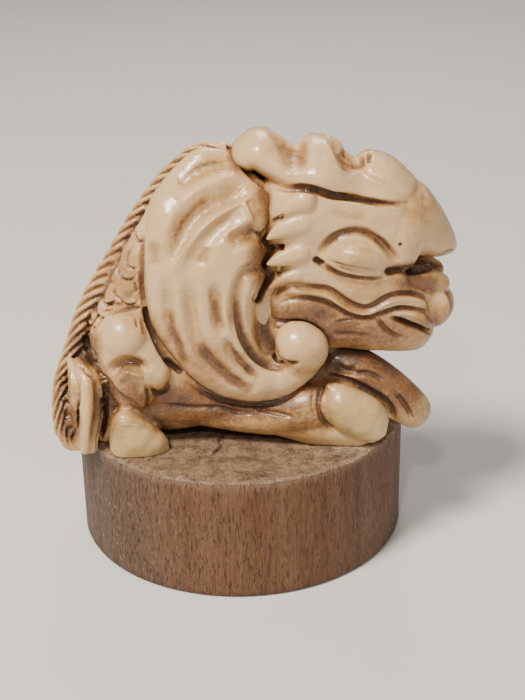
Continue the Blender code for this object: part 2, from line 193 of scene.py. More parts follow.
haunch = {
    "thigh": [
        (-15.2, 17.0), (-12.3, 17.8), (-10.2, 17.4), (-9.2, 15.0), (-7.9, 12.6), (-7.5, 10.4),
        (-8.6, 8.2), (-9.6, 6.0), (-13.6, 5.6), (-15.0, 8.2), (-15.8, 11.4), (-16.6, 14.6),
    ],
    "flank": [
        (-13.0, 20.0), (-9.0, 20.0), (-7.0, 14.0), (-4.0, 10.0), (0.0, 8.0), (6.0, 8.0), (7.0, 4.0),
        (3.0, 2.4), (-3.0, 3.2), (-8.0, 2.8), (-12.0, 3.4), (-13.5, 10.0),
    ],
    "cuts": [  # half width, depth, brown tint (patina in the grooves, with painted shade in some of them), 1 where the ends taper, then the points (x, z) on the pane
        (0.55, 1.1, 0.84, 0, [
            (-10.1, 17.4), (-9.6, 15.6), (-9.1, 14.0), (-8.5, 12.4), (-7.7, 11.0), (-6.7, 10.0),
        ]),
        (0.40, 0.6, 0.80, 1, [(-9.9, 27.0), (-10.3, 23.6), (-10.5, 21.0), (-10.4, 18.6), (-9.9, 16.8)]),
        (0.40, 0.5, 0.78, 1, [
            (-6.4, 9.2), (-4.2, 7.2), (-2.2, 6.1), (0.2, 5.5), (2.4, 5.4), (4.2, 5.6), (5.8, 6.5), (7.2, 7.6),
        ]),
        (0.35, 0.5, 0.80, 1, [(-15.2, 17.2), (-13.4, 17.5), (-11.8, 17.7), (-10.0, 17.6)]),
        (0.28, 0.4, 0.60, 1, [(-14.9, 18.1), (-13.6, 18.2), (-12.4, 18.1)]),
        (0.45, 0.7, 0.75, 0, [(-15.3, 16.6), (-16.5, 14.9), (-16.8, 13.6), (-16.2, 12.0), (-15.4, 10.2)]),
        (0.34, 1.0, 0.95, 1, [(-17.1, 14.8), (-17.0, 13.6), (-16.8, 12.6)]),
        (1.05, 0.95, 0.55, 1, [(-14.6, 9.6), (-13.6, 10.6), (-12.6, 11.0), (-11.4, 10.9), (-9.9, 10.0)]),
        (0.60, 0.6, 0.70, 1, [(-13.2, 10.9), (-12.2, 10.9), (-11.2, 10.6), (-10.3, 10.2)]),
        (0.50, -0.5, 0.0, 1, [(-13.4, 9.7), (-12.6, 10.0), (-11.7, 9.7), (-10.8, 9.1)]),
        (0.90, 0.4, 0.52, 1, [(-13.6, 8.6), (-12.4, 8.4), (-11.0, 7.6)]),
        (0.22, 0.35, 0.50, 1, [(-11.3, 16.5), (-11.1, 15.3)]),
        (0.45, 0.25, 0.32, 1, [(-10.5, 16.6), (-10.3, 14.2)]),
        (0.70, 0.7, 0.80, 1, [(-15.5, 9.6), (-14.6, 7.8), (-13.6, 6.6), (-12.4, 5.8), (-11.4, 5.0)]),
        (0.30, 0.5, 0.70, 1, [(-10.7, 8.4), (-10.4, 7.2), (-10.5, 6.0), (-10.8, 4.9)]),
        (0.32, 0.5, 0.50, 1, [(-10.5, 8.1), (-9.3, 7.2), (-8.4, 7.6), (-7.9, 8.8)]),
        (0.50, 1.2, 0.95, 0, [(-15.4, 6.4), (-15.5, 4.6), (-15.8, 3.0), (-16.2, 1.7), (-16.4, -0.6)]),
        (0.32, 0.4, 0.85, 1, [(-9.9, 5.8), (-8.0, 5.6), (-5.2, 5.3), (-2.4, 5.2), (-0.6, 4.6), (1.8, 4.2)]),
        (0.35, -0.3, 0.0, 1, [(-14.4, 3.2), (-12.8, 3.3), (-11.0, 2.9)]),
    ],
    "hoof": [
        (-13.4, 5.6), (-14.7, 4.4), (-15.1, 2.7), (-15.2, 0.9), (-15.0, -0.8), (-13.4, -1.2),
        (-11.5, -1.2), (-9.4, -1.0), (-8.3, -0.1), (-8.5, 1.3), (-9.6, 2.7), (-11.0, 3.9), (-12.2, 5.1),
    ],
}


def modelHaunch(clay):
    clay.bothPads(haunch["thigh"], [(4, -6.0), (10, -6.4), (17, -5.6)], thickness=3.0)
    clay.bothRolls(fromPane([(-12.6, -5.6, 10.6, 2.6), (-11.8, -5.9, 7.6, 2.2), (-12.4, -5.4, 4.6, 1.8)]))
    clay.bothRolls(fromPane([(-12.7, -6.9, 14.4, 2.8)]))
    clay.bothRolls(fromPane([(-9.4, -7.2, 10.2, 1.7), (-9.5, -7.3, 9.4, 1.7)]))
    clay.bothRolls(fromPane([(-12.8, -7.9, 9.8, 1.3)]))
    clay.bothPads(haunch["hoof"], [(-2, -8.2), (6, -7.6)], thickness=2.3)
    clay.bothPads(haunch["flank"], [(2, -4.6), (8, -4.8), (20, -4.0)], thickness=2.6)


nearHoof = [
    (9.8, 8.1), (9.5, 6.6), (9.5, 5.0), (9.8, 3.7), (10.6, 2.4), (12.8, 1.2), (14.6, 0.4), (16.5, 0.8),
    (17.0, 2.4), (17.0, 3.8), (16.3, 5.0), (15.1, 6.1), (13.2, 7.1), (11.6, 7.7),
]
forelegCuts = [
    (0.45, 0.9, 0.90, 1, [
        (9.8, 8.9), (11.4, 8.5), (13.1, 7.8), (14.8, 6.8), (16.1, 5.9), (17.1, 4.8), (17.5, 3.3), (17.3, 1.0),
    ]),
    (0.42, 0.6, 0.78, 1, [(9.6, 8.4), (9.1, 6.6), (9.0, 4.6), (9.7, 2.8), (11.4, 1.5)]),
    (0.22, 0.3, 0.60, 1, [(8.4, 7.6), (8.2, 5.6), (8.6, 3.6)]),
    (0.42, 0.6, 0.75, 1, [(17.6, 6.7), (18.7, 5.3), (19.4, 4.0), (19.8, 2.4)]),
    (0.42, 0.5, 0.80, 1, [(12.4, 8.9), (14.6, 9.1), (16.6, 7.9)]),
    (0.40, 0.4, 0.60, 1, [(1.6, 5.0), (4.0, 4.3), (6.4, 3.6)]),
    (0.70, 0.8, 0.90, 1, [(10.6, 10.4), (12.0, 9.4), (13.4, 9.6)]),
]


def modelForelegs(clay):
    clay.roll(fromPane([
        (-4, -5.5, 4.6, 1.6), (1, -5.8, 3.9, 1.9), (5, -6.2, 4.3, 2.6), (8.6, -6.2, 5.2, 3.0),
        (11.5, -5.6, 5.6, 2.6),
    ]))
    clay.bothPads(nearHoof, [(0, -8.0), (8, -7.6)], thickness=2.2)
    clay.roll(fromPane([
        (9, -1.5, 11, 3.0), (13, -3.4, 9.4, 2.9), (16.2, -3.8, 7.2, 2.8), (18.8, -4.0, 5.2, 2.4),
        (19.8, -4.0, 4.4, 2.1),
    ]))
    clay.roll(fromPane([
        (4, -6.6, 3.2, 1.6), (8, -7.0, 2.4, 1.8), (11, -7.2, 1.8, 1.6), (13.4, -7.2, 1.4, 1.6),
    ]))
    clay.roll([
        (-4, 5.5, 3.4, 1.6), (1, 5.8, 3.0, 1.9), (6, 6.0, 3.2, 2.6), (10, 5.4, 3.4, 2.8),
        (13.4, 4.4, 2.4, 2.3),
    ])


mane = {
    "outline": [
        (0.4, 35.2), (-1.6, 35.5), (-4.0, 35.5), (-5.8, 34.1), (-8.0, 31.7), (-9.3, 29.3), (-9.9, 25),
        (-10, 20), (-9.7, 16.2), (-8.2, 13.0), (-6.1, 10.1), (-3.9, 8.0), (-1.2, 6.6), (2.2, 6.1),
        (5.0, 6.5), (7.6, 8.2), (9.4, 10.4), (9.7, 12.4), (8.6, 14.8), (6.2, 15.7), (4.3, 14.6),
        (3.9, 12.8), (4.4, 11.2), (3.0, 11.6), (2.0, 13.8), (1.9, 16.6), (2.1, 18.6), (2.7, 20.2),
        (3.3, 21.3), (2.6, 22.5), (3.3, 24.1), (2.7, 25.3), (3.6, 26.8), (4.0, 28.6), (4.9, 30.4),
        (3.6, 31.4), (2.2, 32.6), (1.2, 34.0),
    ],
    "gaps": [
        (0.85, 1.0, 0.80, 0, [(0.0, 35.8), (1.0, 34.3), (1.9, 33.1), (3.2, 31.9), (4.6, 30.9), (5.4, 30.4)]),
        (0.60, 0.9, 0.84, 0, [
            (5.4, 30.6), (5.0, 29.6), (4.4, 28.6), (4.2, 27.7), (4.3, 27.2), (3.9, 26.6), (3.3, 25.9),
            (3.1, 25.3), (3.4, 24.6), (3.9, 24.1), (3.7, 23.6), (3.3, 22.9), (3.0, 22.5), (3.3, 21.9),
            (3.7, 21.3), (3.5, 20.7), (3.1, 20.1), (2.7, 19.5), (2.2, 18.4),
        ]),
    ],
    "cuts": [
        (1.75, 0.95, 0.36, 1, [(-7.0, 30.6), (-5.4, 32.4), (-3.6, 33.5), (-1.4, 34.0), (1.2, 34.4)]),
        (0.45, 0.45, 0.60, 1, [(-5.8, 32.8), (-4.0, 34.0), (-2.4, 34.4), (-0.8, 34.3)]),
        (1.80, 1.15, 0.34, 1, [
            (2.8, 31.9), (0.6, 31.0), (-1.2, 30.2), (-3.2, 29.2), (-4.9, 27.6), (-6.2, 25.3), (-7.4, 22.2),
        ]),
        (0.45, 0.45, 0.55, 1, [(-1.8, 30.9), (-3.6, 30.0), (-5.2, 28.5), (-6.4, 26.3), (-7.2, 24.4)]),
        (0.45, -0.40, 0.0, 1, [
            (2.8, 31.0), (0.2, 29.4), (-2.2, 27.8), (-4.4, 25.9), (-6.0, 23.8), (-7.2, 21.6),
        ]),
        (1.40, 0.65, 0.20, 1, [(1.6, 28.9), (-0.8, 27.6), (-2.8, 25.8), (-4.6, 23.4), (-5.6, 20.6)]),
        (1.25, 0.60, 0.45, 1, [(-4.6, 22.6), (-3.6, 23.8), (-2.8, 24.8)]),
        (1.45, 0.80, 0.52, 1, [(-1.2, 25.0), (0.8, 25.8), (3.0, 26.6)]),
        (0.30, 0.6, 0.9, 1, [(1.6, 26.6), (2.4, 26.1), (3.1, 25.5)]),
        (1.20, 0.30, 0.45, 1, [(-8.9, 26.0), (-9.1, 24.0), (-9.0, 22.2)]),
        (0.80, 0.40, 0.22, 1, [(1.2, 30.4), (2.0, 28.6), (2.6, 27.2)]),
        (0.40, -0.25, 0.0, 1, [(0.8, 30.2), (1.5, 28.6), (2.2, 27.4)]),
        (1.15, 0.65, 0.30, 1, [(-7.7, 21.4), (-7.7, 17.5), (-7.3, 14.0), (-5.8, 10.8)]),
        (0.95, 0.30, 0.80, 1, [(-7.9, 18.4), (-7.7, 15.8), (-7.0, 13.2), (-6.2, 11.4), (-5.0, 9.8)]),
        (1.15, 0.65, 0.28, 1, [(-5.2, 21.4), (-5.1, 17.2), (-4.4, 13.2), (-2.6, 10.2), (0.4, 7.9)]),
        (0.95, 0.40, 1.00, 1, [(-4.8, 14.0), (-3.6, 11.6), (-2.0, 9.7), (-0.2, 8.2), (1.8, 7.0)]),
        (0.95, 0.65, 0.40, 1, [(-2.5, 20.6), (-2.4, 17.6), (-2.2, 15.6), (-1.5, 13.6)]),
        (0.60, 0.25, 0.75, 1, [(-2.5, 19.0), (-2.4, 16.8), (-2.1, 14.8)]),
        (0.90, 0.60, 0.45, 1, [(-1.7, 14.2), (-0.6, 11.8), (1.0, 10.0), (2.4, 8.7)]),
        (0.65, 0.25, 0.90, 1, [(-1.2, 13.4), (-0.2, 11.4), (1.0, 10.0), (2.6, 8.5)]),
        (1.05, 0.75, 0.35, 1, [
            (3.2, 22.0), (1.8, 22.0), (0.6, 20.8), (0.0, 18.8), (-0.2, 16.2), (0.4, 13.8),
        ]),
        (0.80, 0.90, 0.74, 1, [
            (0.9, 20.8), (0.2, 19.0), (0.0, 16.6), (0.5, 14.2), (1.6, 12.0), (3.0, 10.7), (4.8, 10.1),
            (6.9, 10.4),
        ]),
        (1.00, 0.5, 0.90, 0, [(2.6, 17.4), (2.9, 15.6), (3.1, 13.6), (3.6, 12.0)]),
        (0.45, 0.8, 0.90, 1, [(3.6, 11.9), (4.6, 10.9), (5.8, 10.4), (6.9, 10.5)]),
    ],
}


def modelMane(clay):
    clay.bothPads(mane["outline"], [
        (6, -6.0), (14, -6.5), (21, -6.4), (25, -5.8), (28, -4.4), (31, -2.4), (33.5, -0.6), (36, 0),
    ], thickness=3.0)
    clay.bothRolls(fromPane([(6.7, -6.7, 12.8, 2.8), (7.2, -6.7, 12.3, 2.9)]))
    clay.bothRolls(fromPane([(2.4, -4.4, 18.6, 1.8), (3.0, -4.6, 15.4, 1.9), (3.6, -4.8, 12.4, 1.7)]))


head = {
    "face": [
        (4.8, 30.2), (8.8, 30.0), (14, 29.0), (18.6, 27.6), (20.4, 25.4), (19.6, 22.6), (18.8, 21.2),
        (20.6, 19.6), (22.2, 17.6), (21.8, 14.8), (21.2, 12.8), (19.6, 11.9), (15.3, 12.0),
        (12, 12.4), (8, 12.6), (4, 14), (2.9, 15.4), (2.5, 17.2), (2.8, 19.2), (4.2, 21.2), (4.9, 25.6),
    ],
    "tufts": [  # short locks behind the cheek, from root to tip
        [(7.4, 29.6, 1.4), (5.9, 28.9, 0.95), (5.1, 28.4, 0.5), (4.55, 27.9, 0.2)],
        [(7.2, 27.2, 1.5), (5.2, 26.5, 1.05), (4.1, 25.9, 0.55), (3.4, 25.4, 0.2)],
        [(7.0, 23.9, 1.4), (5.1, 23.2, 0.95), (4.1, 22.8, 0.55), (3.35, 22.5, 0.2)],
        [(6.6, 21.2, 1.1), (4.9, 20.6, 0.7), (4.1, 20.1, 0.42), (3.5, 19.7, 0.2)],
    ],
    "cuts": [
        (0.26, 0.4, 0.60, 1, [(3.6, 27.3), (4.7, 27.8), (5.4, 28.1)]),
        (0.36, 0.9, 0.75, 1, [(3.0, 24.3), (4.2, 24.35), (5.3, 24.4)]),
        (0.32, 0.8, 0.75, 1, [(3.2, 21.5), (4.1, 21.35), (4.9, 21.2)]),
        (0.50, 0.9, 0.72, 1, [
            (3.6, 31.6), (5.4, 31.0), (7.3, 31.0), (8.9, 30.6), (10.3, 30.1), (11.7, 29.9), (13.1, 29.7),
            (14.3, 29.4), (15.8, 29.1), (17.2, 29.0), (19.2, 28.9),
        ]),
        # a shallow cut that is mostly painted shade: a brown band down the back of the head, away from the
        # light
        (0.85, 0.15, 0.50, 1, [(19.4, 31.4), (20.0, 29.8), (20.4, 28.4), (20.8, 27.0)]),
        (1.70, 0.9, 0.45, 1, [(4.6, 38.6), (5.8, 36.4), (6.4, 34.4), (6.8, 32.8)]),
        (0.90, 0.5, 0.60, 1, [(5.6, 37.0), (6.2, 35.2), (6.4, 33.8)]),
        (1.50, 1.1, 0.55, 1, [(10.8, 37.4), (11.8, 35.2), (12.6, 33.6), (13.2, 32.6)]),
        (0.80, 0.5, 0.78, 1, [(11.4, 36.2), (12.0, 34.6), (12.4, 33.6)]),
        (0.40, 0.6, 0.50, 1, [(14.4, 36.0), (14.2, 34.4), (14.0, 33.4)]),
        (1.00, 0.25, 0.36, 1, [(9.6, 28.4), (12.0, 28.0), (14.8, 27.4)]),
        (0.68, 0.7, 0.72, 1, [
            (8.8, 22.7), (9.5, 24.2), (10.6, 25.3), (12.0, 25.9), (13.3, 26.0), (14.5, 25.6), (15.5, 24.9),
            (16.5, 23.8), (17.4, 22.6), (17.8, 21.4),
        ]),
        (0.40, 0.4, 0.95, 1, [(14.8, 25.2), (15.7, 24.5), (16.3, 23.8)]),
        (0.50, 0.9, 1.0, 0, [(8.7, 22.8), (9.2, 22.4)]),
        (0.45, 0.65, 0.88, 1, [
            (8.8, 22.7), (10.3, 21.6), (11.4, 21.0), (12.8, 20.6), (14.2, 20.4), (15.5, 20.4), (16.8, 21.0),
        ]),
        (1.50, -0.30, 0.0, 1, [(10.0, 22.5), (11.6, 23.2), (13.4, 23.3), (14.8, 22.8), (16.6, 21.8)]),
        (0.20, 0.3, 0.50, 1, [(9.8, 22.9), (11.7, 22.2), (13.2, 21.8), (14.6, 21.55), (15.2, 21.2)]),
        (0.18, 0.2, 0.40, 1, [(10.6, 22.2), (12.2, 21.6), (13.8, 21.3)]),
        (0.62, 1.1, 0.95, 0, [(16.7, 21.2), (18.2, 21.3), (19.6, 21.4), (20.8, 21.7)]),
        (0.50, 0.9, 0.90, 1, [(18.6, 21.5), (20.4, 22.0), (21.6, 22.6), (23.2, 23.2), (24.6, 23.8)]),
        (0.22, 0.5, 1.0, 0, [(17.8, 24.4), (17.9, 24.4)]),
        (0.90, 0.45, 0.42, 1, [(10.0, 21.2), (12.4, 20.0), (15.0, 19.6), (17.4, 20.0)]),
        (0.35, 0.15, 0.75, 1, [
            (22.0, 19.6), (23.0, 18.8), (23.7, 17.4), (23.6, 16.0), (22.8, 14.8), (21.6, 14.4),
        ]),
        (0.50, 0.55, 0.70, 1, [
            (3.8, 19.5), (5.6, 19.9), (6.9, 19.8), (8.5, 19.6), (9.8, 19.4), (10.7, 18.9), (11.7, 18.1),
            (12.8, 17.4), (14.0, 17.0), (15.1, 17.3), (16.0, 17.9), (17.0, 18.4), (18.0, 18.6), (19.3, 18.6),
            (20.6, 18.2), (21.2, 17.7), (21.4, 16.7), (21.6, 15.7), (22.6, 14.8),
        ]),
        (0.38, -0.35, 0.0, 1, [
            (3.0, 18.7), (4.6, 18.9), (6.0, 19.1), (7.5, 19.1), (9.0, 18.9), (10.4, 18.3), (11.5, 17.4),
            (12.8, 16.7), (13.9, 16.4), (14.8, 16.6), (15.7, 17.1), (16.8, 17.7), (17.9, 18.0), (19.2, 17.9),
            (20.4, 17.6), (21.0, 17.0),
        ]),
        (0.38, 0.6, 0.86, 1, [
            (3.4, 17.4), (4.8, 17.9), (6.0, 18.3), (7.3, 18.4), (8.6, 18.2), (9.8, 17.8), (11.1, 17.1),
            (12.2, 16.4), (13.3, 16.0), (14.8, 15.9), (15.7, 16.2), (16.8, 16.6), (17.9, 16.9), (19.2, 16.8),
            (20.5, 16.5), (21.2, 16.0), (21.8, 15.2), (22.4, 14.6),
        ]),
        (0.42, -0.3, 0.0, 1, [(17.0, 15.9), (18.4, 16.3), (19.6, 16.0), (20.8, 15.4), (21.7, 14.6)]),
        (0.42, 1.2, 1.0, 1, [
            (16.8, 15.9), (18.1, 15.4), (19.2, 14.9), (20.1, 14.5), (20.9, 14.1), (22.2, 13.8),
        ]),
        (0.35, 0.45, 0.78, 1, [(15.2, 16.1), (16.0, 15.0), (16.7, 14.2), (17.6, 13.6), (18.5, 13.3)]),
        (0.42, 0.6, 0.9, 1, [(2.8, 16.0), (4.7, 15.6), (6.8, 15.5), (8.2, 15.0), (9.3, 14.0), (10.0, 13.0)]),
        (0.25, 0.25, 0.55, 1, [(10.3, 15.3), (12.6, 15.7), (14.8, 15.8)]),
        (0.35, 0.35, 0.65, 1, [(10.4, 14.0), (12.6, 13.9), (14.8, 13.6)]),
    ],
}


def modelHead(clay):
    clay.roll([(8, 0, 26.0, 6.5), (12, 0, 25.6, 6.2), (15.4, 0, 25.5, 5.7), (18.4, 0, 24.8, 4.8)], flat=1.15)
    clay.bothRolls(fromPane([(17.6, -3.6, 20.6, 1.3), (20.0, -3.0, 20.6, 1.4), (22.2, -2.2, 19.8, 1.2)]))
    clay.roll([
        (18.4, 0, 24.8, 4.8), (20.8, 0, 23.6, 3.5), (23.0, 0, 22.1, 2.2), (24.3, 0, 21.3, 1.2),
    ], flat=1.25)
    clay.roll([(7, 0, 18.0, 4.6), (12, 0, 17.6, 3.9), (17, 0, 17.0, 3.2), (20.8, 0, 16.2, 2.9)], flat=1.35)
    clay.roll([
        (5, 0, 14.6, 3.6), (10, 0, 13.9, 3.0), (15.5, 0, 12.0, 2.8), (18.6, 0, 11.2, 2.6),
        (21.0, 0, 11.2, 2.2),
    ], flat=1.65)
    faceDepths = [(12, -3.4), (17, -4.0), (22, -4.5), (30, -4.2)]
    clay.bothPads(head["face"], faceDepths, thickness=2.6, narrowing=0.2)
    clay.bothBalls((22.7, -1.8, 14.5), (2.5, 2.2, 2.8), tilt=15)
    clay.bothRolls(fromPane([(11.6, -6.1, 23.0, 1.2), (13.4, -6.2, 23.1, 1.6), (15.6, -6.0, 22.6, 1.1)]))
    clay.bothRolls(fromPane([(22.3, -2.6, 17.2, 1.35), (22.2, -2.6, 16.4, 1.4)]))
    clay.bothRolls(fromPane([(11.6, -5.6, 19.4, 1.0), (13.4, -5.5, 18.9, 1.3), (15.2, -5.1, 19.2, 0.9)]))
    for tuft in head["tufts"]:
        clay.bothRolls(fromPane([(x, -6.2 - 0.25 * i, z, r) for i, (x, z, r) in enumerate(tuft)]), step=0.15)


def modelCrest(clay):
    clay.roll([
        (2.8, 0, 32.9, 2.0), (4.4, 0, 32.0, 2.2), (6.8, 0, 30.9, 2.5), (9.6, 0, 30.8, 3.0),
        (13.2, 0, 28.9, 2.6), (16.6, 0, 27.8, 2.7), (19.4, 0, 26.0, 2.2),
    ], flat=2.2)
    clay.roll([(1.5, 0, 32.6, 1.9), (2.8, 0, 33.3, 2.1), (4.2, 0, 32.9, 1.9)], flat=2.0)
    clay.roll([(9.0, 0, 32.5, 2.0), (10.4, 0, 32.3, 2.0)], flat=2.1)
    clay.roll([(15.2, 0, 30.6, 1.9), (16.8, 0, 29.9, 2.1), (18.8, 0, 28.2, 2.0)], flat=2.1)


back = {
    "ridge": [
        (-1.0, 0, 33.0, 0.9), (-4.0, 0, 32.4, 1.15), (-6.2, 0, 30.8, 1.2), (-8.8, 0, 28.1, 1.2),
        (-11.3, 0, 24.6, 1.25), (-13.4, -0.1, 21.2, 1.25), (-15.9, -0.4, 17.3, 1.25),
        (-17.7, -1.1, 14.2, 1.2), (-18.8, -2.2, 11.6, 1.05),
    ],
    "ridgeEnd": [  # down the edge of the tail, on the pane
        (-19.8, -4.4, 9.6, 0.9), (-20.3, -5.6, 7.8, 0.8), (-20.6, -6.4, 6.0, 0.75), (-20.7, -6.8, 4.4, 0.7),
        (-20.6, -7.0, 2.9, 0.7), (-20.0, -7.2, 1.4, 0.65), (-19.0, -7.4, 0.6, 0.6),
    ],
    "strands": 6,
    "strandPitch": 1.7,
    "strandDepth": 0.48,
    "strandLift": 0.15,
    "strandStain": (0.24, 0.52),  # on its crown, and more in the groove
    "strandRim": 0.6,
    "strandFade": 0.35,
    "strandEnds": 12,
    "strandReach": 2.2,
    "pointsAtOnce": 4000,
    "scaleCuts": [
        (0.35, 0.6, 0.9, 1, [
            (-8.4, 31.2), (-9.6, 29.4), (-10.9, 27.3), (-12.1, 25.4), (-13.1, 23.2), (-14.1, 21.1),
            (-15.1, 19.2), (-16.3, 17.0), (-17.2, 15.0),
        ]),
    ],
    "scales": [
        [(-10.9, 26.8), (-10.6, 25.6), (-9.8, 25.4)],
        [(-11.2, 24.9), (-11.8, 23.8), (-11.9, 22.9), (-11.4, 22.4), (-10.5, 22.5)],
        [(-12.0, 25.2), (-12.7, 23.8), (-12.9, 23.0)],
        [(-12.8, 22.9), (-12.9, 21.9), (-12.5, 21.2), (-11.6, 21.1), (-10.8, 21.7)],
        [(-13.0, 20.8), (-13.5, 19.6), (-13.0, 18.8), (-12.4, 18.2), (-11.5, 18.1), (-10.7, 19.0)],
        [(-11.2, 21.0), (-11.1, 19.4)],
        [(-13.9, 20.9), (-14.7, 19.3), (-14.6, 18.3), (-13.9, 18.3), (-13.2, 18.8)],
        [(-13.7, 22.2), (-14.1, 21.2), (-13.3, 20.6)],
        [(-15.3, 18.8), (-15.6, 17.4), (-15.1, 16.6), (-14.5, 17.2)],
        [(-16.0, 17.6), (-16.6, 16.2), (-16.1, 15.5), (-15.5, 15.9)],
    ],
}
tail = {
    "hair": [
        (-17.2, -2.4, 12.0, 1.5), (-18.0, -4.0, 9.6, 1.6), (-18.6, -5.4, 6.4, 1.7),
        (-18.7, -6.0, 3.6, 1.7), (-18.2, -6.4, 1.4, 1.4),
    ],
    "fuzz": [(-19.7, 9.0), (-19.9, 6.8), (-19.7, 4.6), (-19.3, 2.0)],
    "wisps": 9,
    "cuts": [
        (0.24, 0.5, 0.75, 1, [(-18.1, 10.0), (-18.2, 8.1), (-18.3, 6.5), (-18.4, 4.6), (-18.6, 2.4)]),
        (0.50, 0.30, 0.55, 1, [(-16.3, 9.4), (-16.1, 7.0), (-16.3, 5.0), (-16.9, 2.6), (-17.1, 0.0)]),
        (0.28, 0.4, 0.50, 1, [(-17.9, 11.0), (-17.15, 10.0), (-16.2, 9.1)]),
        (0.40, 0.7, 0.85, 1, [
            (-17.2, 12.4), (-16.2, 11.2), (-15.6, 10.2), (-15.2, 9.0), (-15.1, 7.6), (-15.3, 5.8),
        ]),
        (0.26, 0.5, 0.80, 1, [(-19.1, 11.4), (-19.4, 9.4), (-19.45, 7.6), (-19.35, 6.0), (-18.9, 4.2)]),
        (0.70, 0.3, 0.62, 1, [(-19.8, 7.4), (-19.7, 5.0), (-19.4, 3.0), (-18.9, 0.8)]),
    ],
}


def ridgeRows():
    return np.vstack([np.array(back["ridge"], float), fromPane(back["ridgeEnd"])])


def modelBackAndTail(clay):
    clay.roll(ridgeRows(), step=0.4)
    clay.roll(fromPane(tail["hair"]))
    clay.roll([(-15.2, -4.4, 7.0, 2.2), (-15.6, -4.8, 4.0, 2.2), (-15.8, -5.0, 1.6, 1.9)])
    clay.roll(fromPane([
        (-18.0, -5.4, 11.4, 0.6), (-17.3, -7.4, 8.9, 1.0), (-17.3, -8.2, 6.5, 1.0), (-17.5, -8.6, 4.4, 0.9),
        (-17.8, -8.7, 2.6, 0.75), (-18.0, -8.6, 0.5, 0.65),
    ]), step=0.4)
    clay.roll(fromPane([
        (-17.4, -5.4, 11.0, 0.6), (-16.2, -6.8, 8.8, 0.8), (-16.2, -7.4, 6.0, 0.8), (-16.6, -7.8, 3.8, 0.8),
        (-17.0, -8.0, 1.8, 0.7), (-17.2, -8.0, 0.4, 0.6),
    ]), step=0.4)
    clay.roll(fromPane([
        (-18.8, -4.8, 11.4, 0.5), (-18.8, -6.8, 8.8, 0.6), (-18.8, -7.4, 6.6, 0.6), (-18.6, -7.6, 4.6, 0.35),
    ]), step=0.4)


def hairCuts():  # short slanting wisps between the ridge and the tail's leaves
    line = through(tail["fuzz"], 0.1)
    cuts = []
    for i in range(tail["wisps"]):
        x, z = line[int((i + 0.5) / tail["wisps"] * (len(line) - 1))]
        sway = 0.16 * (i % 3 - 1)
        cuts.append((0.16, 0.3, 0.8, 1, [(x + 0.5, z + 0.6), (x + 0.1 + sway, z), (x - 0.4, z - 0.9)]))
    return cuts


def scaleCuts():  # each scale is a low dome above its cut edge
    cuts = list(back["scaleCuts"])
    for scale in back["scales"]:
        x, z = np.mean(scale, axis=0)
        cuts.append((0.22, 0.45, 0.80, 1, scale))
        cuts.append((0.75, -0.16, 0.0, 0, [(x + 0.15, z + 0.75), (x + 0.05, z + 0.45)]))
    return cuts


knife = {  # how a cut's depth and brown tint, partly painted shade, fall off beside its line
    "bevel": 1.12,
    "tintWidth": 1.15,
    "tintMargin": 0.45,
    "tintEdge": 1.5,
    "coreTint": 0.72,
    "haloTint": 0.38,
    "ends": 1.5,
    "grazing": 2.5,
    "middle": -0.3,  # each side is cut as far as this from the middle plane
}


def strokes(points, normals, cuts):  # depth and brown tint of the cuts, partly painted shade, near side and mirrored
    down, up, stainAndShade = np.zeros((3, len(points)))
    for side in (1, -1):
        mirror = np.array((1, side, 1))
        places = points * mirror
        towards = eye - places
        towards /= np.linalg.norm(towards, axis=1)[:, None]
        facing = np.clip(np.sum(towards * normals * mirror, axis=1) * knife["grazing"], 0, 1)
        facing = facing * (places[:, 1] < knife["middle"])
        flat = onPane(places)
        for width, deep, colour, taper, path in cuts:
            line = through(path, 0.2)
            reach = width * knife["tintWidth"] + knife["tintMargin"]
            above, below = flat > line.min(axis=0) - reach, flat < line.max(axis=0) + reach
            near = np.flatnonzero(np.all(above & below, axis=1) & (facing > 0))
            if not len(near):
                continue
            gaps = np.linalg.norm(flat[near, None] - line[None], axis=2)
            first = gaps.argmin(axis=1)
            away = gaps[np.arange(len(near)), first]
            along = first / max(1, len(line) - 1)
            swell = np.clip(np.sin(np.pi * along) * knife["ends"], 0, 1) if taper else 1.0
            shape = np.clip(1 - (away / (width * knife["bevel"])) ** 2, 0, 1) ** 2 * facing[near] * swell
            if deep > 0:
                down[near] = np.maximum(down[near], deep * shape)
            else:
                up[near] = np.maximum(up[near], -deep * shape)
            core = np.clip(1 - (away / width) ** 2, 0, 1)
            halo = np.clip(1 - away / reach, 0, 1) ** knife["tintEdge"]
            tint = core * knife["coreTint"] + halo * knife["haloTint"]
            tint = colour * tint * facing[near] * swell
            stainAndShade[near] = np.maximum(stainAndShade[near], np.clip(tint, 0, 1))
    return down - up, stainAndShade


